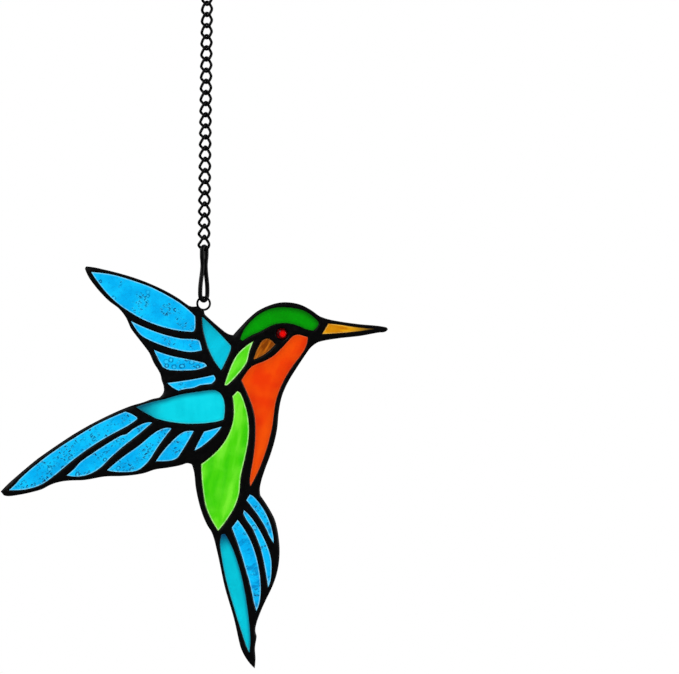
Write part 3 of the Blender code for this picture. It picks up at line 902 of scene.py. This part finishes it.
def rippled_blue(name, flecks, seeds, wave_shade):
    """Clear blue sheet glass, with painted glints beside its flecks. Flecks, seeds and its wavy
    bands of painted shade say how much it has of each.
    """
    material, tree, shader, solid_place = surface(name)
    place = in_plane(tree, solid_place)
    body = blended(tree, between(tree, cloud(tree, place, 0.11), 0.36, 0.64),
                   colour(0, 176, 242), colour(6, 196, 255))
    mottle = between(tree, cloud(tree, place, 0.75, 3.0, 0.6), 0.48, 0.72)
    body = laid_over(tree, body, mottle, 0.5, colour(4, 146, 214))

    # Wavy darker bands: painted shade standing for the light that the glass's ripples bend
    wave_shade_place = stretched(tree, stirred(tree, place, 0.25, 3.0), 22, (0.14, 0.36, 1.0))
    wave = between(tree, cloud(tree, wave_shade_place, 1.0, 4.0, 0.6), 0.48, 0.66)
    body = laid_over(tree, body, wave, 0.42 * wave_shade, colour(0, 124, 190))

    crowd = between(tree, cloud(tree, place, 0.13, 1.0), 0.56 - 0.20 * flecks, 0.60)
    for angle, share in ((38, 0.74), (-40, 0.56)):
        dash_place = stretched(tree, stirred(tree, place, 0.9, 1.1), angle, (0.50, 1.25, 1.0))
        away, kept = cells(tree, dash_place, 0.85, share, 0.12, 0.34)
        fleck = sums(tree, "MULTIPLY", between(tree, away, -0.08, 0.03, 1.0, 0.0), kept)
        fleck = sums(tree, "MULTIPLY", fleck, crowd)
        body = laid_over(tree, body, fleck, 0.7 + 0.3 * flecks, colour(0, 36, 90))
        # A pale rim beside each dash: painted glints of light
        painted_glint = between(tree, away, 0.03, 0.09, 1.0, 0.0)
        painted_glint = sums(tree, "MULTIPLY", sums(tree, "MULTIPLY", painted_glint, crowd), kept)
        painted_glint = sums(tree, "MULTIPLY", painted_glint, between(tree, away, -0.03, 0.03))
        body = laid_over(tree, body, painted_glint, 0.8, colour(84, 214, 255))

    seed_place = stirred(tree, place, 0.8, 0.7)
    away, kept = cells(tree, seed_place, 0.34, seeds, 0.16, 0.36)
    uneven = between(tree, cloud(tree, place, 1.1), 0.34, 0.56, 0.35, 1.0)
    line = sums(tree, "MULTIPLY", uneven,
                between(tree, sums(tree, "ABSOLUTE", away, 0.0), 0.05, 0.12, 1.0, 0.0))
    bright = between(tree, away, -0.10, -0.05, 1.0, 0.0)
    body = laid_over(tree, body, sums(tree, "MULTIPLY", bright, kept), 0.7,
                     colour(66, 212, 255))
    body = laid_over(tree, body, sums(tree, "MULTIPLY", line, kept), 1.0, colour(0, 48, 108))
    with_rim(tree, shader, body, colour(136, 216, 246), colour(0, 40, 90), place)
    glassy(shader, 0.05, 1.0)
    bumped(tree, shader, cloud(tree, solid_place, 1.1, 3.0, 0.55), 0.35, 0.12 * MM)
    return material


def soft_glass(name, deep, middle, light, streaks, pale, dark, rim=0.45, roughness=0.3):
    """Milky streaked sheet glass.

    Streaks are (angle, how many in a millimetre across, how strong). Pale is the colour of the
    painted light just inside the solder; dark is that of the painted shade and of the specks.
    """
    material, tree, shader, solid_place = surface(name)
    place = in_plane(tree, solid_place)
    angle, across, strength = streaks
    run = cloud(tree, stretched(tree, place, angle, (across, across * 0.14, 1)), 1.0, 3.0)
    body = blended(tree, between(tree, run, 0.52 - 0.12 / strength, 0.52), deep, middle)
    body = blended(tree, between(tree, run, 0.52, 0.52 + 0.13 / strength), body, light)
    haze = between(tree, cloud(tree, place, 0.12), 0.40, 0.66)
    body = laid_over(tree, body, haze, 0.4, light)
    grain = between(tree, cloud(tree, place, 1.3, 3.0, 0.6), 0.5, 0.75)
    body = laid_over(tree, body, grain, 0.25, deep)
    speck = between(tree, cloud(tree, place, 1.5, 1.0), 0.74, 0.79)
    body = laid_over(tree, body, speck, 0.5, dark)
    with_rim(tree, shader, body, pale, dark, place, rim)
    glassy(shader, roughness, 1.0)
    bumped(tree, shader, cloud(tree, solid_place, 0.7, 2.0), 0.25, 0.08 * MM)
    return material


def red_bead():
    """Red polished glass, with painted light that makes it bright to one side of its middle, and
    painted shade deep red towards its rim.
    """
    material, tree, shader, place = surface("red_bead_glass")
    middle = middle_of("eye") / MM
    # Painted light: a bright spot a little to one side of the bead's middle, fading to painted
    # shade at its rim
    centred = add(tree, "ShaderNodeMapping",
                  {"Vector": place, "Location": (-middle.x - 0.45, 0, -middle.z + 0.05)})
    flat = add(tree, "ShaderNodeMapping", {"Vector": centred.outputs["Vector"],
                                           "Scale": (1, 0, 1)})
    away = add(tree, "ShaderNodeVectorMath", {0: flat.outputs["Vector"]}, operation="LENGTH")
    body = blended(tree, between(tree, away.outputs["Value"], 0.7, 1.9),
                   colour(222, 4, 2), colour(54, 0, 2))
    body = laid_over(tree, body, between(tree, cloud(tree, place, 0.7), 0.52, 0.7), 0.25,
                     colour(240, 30, 22))
    tree.links.new(body, shader.inputs["Base Color"])
    glassy(shader, 0.12, 0.15)
    shader.inputs["Specular IOR Level"].default_value = 0.1
    return material


def black_metal(name, tones, roughness, grain):
    """Black patina with a satin gloss, rubbed a little in random patches."""
    material, tree, shader, place = surface(name)
    patch = between(tree, cloud(tree, place, 0.35, 3.0), 0.35, 0.70)
    body = blended(tree, patch, tones[0], tones[1])
    worn = between(tree, cloud(tree, place, 1.4, 4.0, 0.65), 0.62, 0.78)
    body = laid_over(tree, body, worn, 0.5, tones[2])
    tree.links.new(body, shader.inputs["Base Color"])
    gloss = between(tree, cloud(tree, place, 0.8, 3.0), 0.3, 0.7, roughness - 0.07,
                    roughness + 0.10)
    tree.links.new(gloss, shader.inputs["Roughness"])
    shader.inputs["Metallic"].default_value = 0.6
    bumped(tree, shader, cloud(tree, place, grain, 4.0, 0.6), 0.25, 0.06 * MM)
    return material


def ripple_texture(name, size):
    """A random swell of that size in millimetres."""
    texture = bpy.data.textures.new(name, "CLOUDS")
    texture.noise_scale = size * MM
    texture.noise_depth = 1
    return texture


RIPPLES = {"wave": ripple_texture("wave", 4.5), "dimple": ripple_texture("dimple", 1.7)}
BLUE_RIPPLE = (("wave", 0.22), ("dimple", 0.10))
SOFT_RIPPLE = (("wave", 0.12),)

SOLDER = black_metal("black_patina_solder", (colour(6, 5, 7), colour(10, 9, 11),
                                             colour(24, 21, 24)), 0.40, 1.1)
WIRE = black_metal("black_wire", (colour(7, 7, 8), colour(11, 11, 12),
                                  colour(24, 23, 24)), 0.36, 2.2)
EYE_RED = red_bead()
BLUE = rippled_blue("clear_blue_glass", 0.2, 0.06, 0.25)
FLECKED_BLUE = rippled_blue("flecked_blue_glass", 1.0, 0.08, 0.5)
SEEDY_BLUE = rippled_blue("seedy_blue_glass", 0.15, 0.85, 0.2)
WAVY_BLUE = rippled_blue("wavy_blue_glass", 0.6, 0.08, 1.0)
TAIL_BLUE = rippled_blue("tail_blue_glass", 0.35, 0.05, 2.0)
SHOULDER = soft_glass("turquoise_wing_glass", colour(0, 200, 218), colour(4, 212, 230),
                      colour(16, 226, 242), (4, 0.16, 0.5), colour(110, 226, 232),
                      colour(0, 60, 92))
BACK_SHOULDER = soft_glass("turquoise_back_wing_glass", colour(0, 180, 206), colour(0, 192, 220),
                           colour(6, 204, 232), (-40, 0.20, 0.6), colour(100, 200, 204),
                           colour(0, 82, 96))
TAIL_TURQUOISE = soft_glass("turquoise_tail_glass", colour(0, 174, 194), colour(0, 190, 210),
                            colour(2, 202, 222), (18, 0.20, 0.6), colour(96, 190, 190),
                            colour(0, 40, 92))
LIME = soft_glass("lime_glass", colour(58, 202, 4), colour(74, 212, 8), colour(118, 236, 46),
                  (-10, 0.20, 0.9), colour(196, 248, 156), colour(24, 120, 0), 0.62)
NAPE_LIME = soft_glass("bright_lime_glass", colour(70, 208, 14), colour(84, 218, 24),
                       colour(106, 234, 44), (-35, 0.3, 0.7), colour(204, 250, 172),
                       colour(30, 130, 6), 0.62)
GREEN = soft_glass("green_glass", colour(0, 134, 0), colour(0, 146, 0), colour(0, 158, 2),
                   (50, 0.12, 0.5), colour(40, 160, 40), colour(0, 22, 0))
BROWN = soft_glass("brown_glass", colour(124, 56, 0), colour(160, 78, 0), colour(200, 112, 20),
                   (-33, 0.9, 1.6), colour(206, 140, 70), colour(60, 26, 2))
ORANGE = soft_glass("orange_glass", colour(236, 56, 0), colour(244, 74, 0), colour(252, 92, 2),
                    (-20, 0.11, 0.8), colour(226, 120, 76), colour(130, 26, 4))
AMBER = soft_glass("amber_glass", colour(198, 120, 0), colour(222, 150, 0), colour(236, 168, 12),
                   (80, 0.5, 2.0), colour(238, 190, 92), colour(52, 40, 14))


# The bird's glass. A shade is an edge or an end that faces that angle, or all of the rim, then
# how far it reaches in millimetres and how strong it is.

BLUE_PANES = {
    "back_wing_feather_1": BLUE,
    "back_wing_feather_2": BLUE,
    "back_wing_feather_3": SEEDY_BLUE,
    "back_wing_feather_4": WAVY_BLUE,
    "front_wing_feather_1": FLECKED_BLUE,
    "front_wing_feather_2": FLECKED_BLUE,
    "front_wing_feather_3": WAVY_BLUE,
    "front_wing_feather_4": WAVY_BLUE,
    "front_wing_feather_5": BLUE,
    "tail_feather_1": TAIL_BLUE,
    "tail_feather_2": TAIL_BLUE,
    "tail_feather_3": TAIL_BLUE,
}
for name, finish in BLUE_PANES.items():
    pane(name, finish, BLUE_RIPPLE)
pane("back_wing_shoulder", BACK_SHOULDER, SOFT_RIPPLE,
     (("end", 110, 14, 0.5), ("all", 0, 1.4, 0.5)))
pane("front_wing_shoulder", SHOULDER, SOFT_RIPPLE,
     (("edge", 100, 3.0, 0.85), ("end", 175, 15, 0.92), ("edge", -90, 1.6, 0.35),
      ("edge", 0, 1.6, 0.45)))
pane("tail_long", TAIL_TURQUOISE, SOFT_RIPPLE,
     (("end", 100, 9, 0.95), ("edge", 0, 1.9, 0.6), ("all", 0, 1.4, 0.45)))
pane("crown", GREEN, SOFT_RIPPLE,
     (("edge", 75, 3.2, 0.6), ("edge", 0, 2.6, 0.6), ("edge", 180, 2.4, 0.4),
      ("edge", -90, 1.8, 0.4), ("all", 0, 1.0, 0.45)))
pane("cheek", BROWN, SOFT_RIPPLE, (("all", 0, 1.5, 0.55),))
pane("nape", NAPE_LIME, SOFT_RIPPLE)
pane("back", LIME, SOFT_RIPPLE)
pane("throat", ORANGE, SOFT_RIPPLE,
     (("edge", 150, 2.2, 0.2), ("edge", -20, 1.5, 0.3), ("all", 0, 5.5, 0.2)))
pane("beak", AMBER, SOFT_RIPPLE,
     (("end", 0, 14, 1.0), ("all", 0, 0.9, 0.35)))
eye_bead()
solder_web()
hanging_ring()
hook_link()
chain()
top_ring()


# The studio: a white room, a plain pale floor and soft lights


def floor():
    """A wide pale floor below the bird, which the black parts don't mirror."""
    low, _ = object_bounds()
    bpy.ops.object.select_all(action="DESELECT")
    bpy.ops.mesh.primitive_circle_add(vertices=128, radius=1.3, fill_type="NGON",
                                      location=(0, 0, low.z - 0.15))
    disc = bpy.context.object
    disc.name = "floor"
    material = bpy.data.materials.new("pale_floor")
    material.use_nodes = True
    shader = material.node_tree.nodes["Principled BSDF"]
    shader.inputs["Base Color"].default_value = (0.92, 0.92, 0.92, 1.0)
    shader.inputs["Roughness"].default_value = 0.8
    disc.data.materials.append(material)
    disc.visible_glossy = False
    disc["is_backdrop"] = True


# How bright the room is in reflections and through the glass, where 1 is white
ROOM_REFLECTED = 0.06
ROOM_THROUGH_GLASS = 1.08


def room():
    """White to the eye and through the glass, and dimmer in reflections."""
    world = bpy.data.worlds.new("room")
    world.use_nodes = True
    tree = world.node_tree
    rays = add(tree, "ShaderNodeLightPath")
    mirrored = sums(tree, "SUBTRACT", rays.outputs["Is Glossy Ray"],
                    rays.outputs["Is Transmission Ray"])
    dim = sums(tree, "MULTIPLY", sums(tree, "MAXIMUM", mirrored, 0.0), ROOM_REFLECTED - 1)
    through = sums(tree, "MULTIPLY", rays.outputs["Is Transmission Ray"],
                   ROOM_THROUGH_GLASS - 1)
    background = tree.nodes["Background"]
    background.inputs["Color"].default_value = (1, 1, 1, 1)
    strength = sums(tree, "ADD", sums(tree, "ADD", dim, through), 1.0)
    tree.links.new(strength, background.inputs["Strength"])
    bpy.context.scene.world = world


def soft_light(name, place, aim, size, power):
    """A square lamp that faces its aim."""
    data = bpy.data.lights.new(name, "AREA")
    data.shape = "SQUARE"
    data.size = size
    data.energy = power
    light = bpy.data.objects.new(name, data)
    light.location = place
    light.rotation_mode = "QUATERNION"
    light.rotation_quaternion = (Vector(place) - Vector(aim)).to_track_quat("Z", "Y")
    bpy.context.scene.collection.objects.link(light)


# The photo's view. The bird hangs plumb, and the camera leans by what the photo does.
VIEW_WIDTH = 679 * 0.43 * MM
VIEW_LEAN = math.radians(0.7)
VIEW_RIGHT_OF_RING = (679 / 2 - 203.6) * 0.43 * MM
VIEW_BELOW_RING = (674 / 2 - 303.5) * 0.43 * MM
CAMERA_DISTANCE = 1.6


def camera():
    """A camera far in front, whose lens shows what the photo shows."""
    ring = middle_of("hanging_ring")
    aim = ring + Matrix.Rotation(-VIEW_LEAN, 3, "Y") @ Vector((VIEW_RIGHT_OF_RING, 0,
                                                                -VIEW_BELOW_RING))
    data = bpy.data.cameras.new("camera")
    data.sensor_width = 36
    data.lens = 36 * CAMERA_DISTANCE / VIEW_WIDTH
    data.clip_end = 50
    item = bpy.data.objects.new("camera", data)
    item.matrix_world = (Matrix.Translation((aim.x, aim.y - CAMERA_DISTANCE, aim.z))
                         @ Matrix.Rotation(-VIEW_LEAN, 4, "Y")
                         @ Matrix.Rotation(math.pi / 2, 4, "X"))
    bpy.context.scene.collection.objects.link(item)
    bpy.context.scene.camera = item


floor()
room()
soft_light("key_light", (-0.9, -1.2, 0.7), (0, 0, -0.2), 0.8, 5)
soft_light("right_light", (1.5, -0.2, 0.2), (0, 0, -0.2), 0.9, 9)
soft_light("left_light", (-1.5, 0.2, 0.2), (0, 0, -0.2), 0.9, 9)
soft_light("back_light", (0.3, 1.3, 0.8), (0, 0, -0.2), 0.8, 8)
camera()
bpy.context.scene.view_settings.view_transform = "Standard"
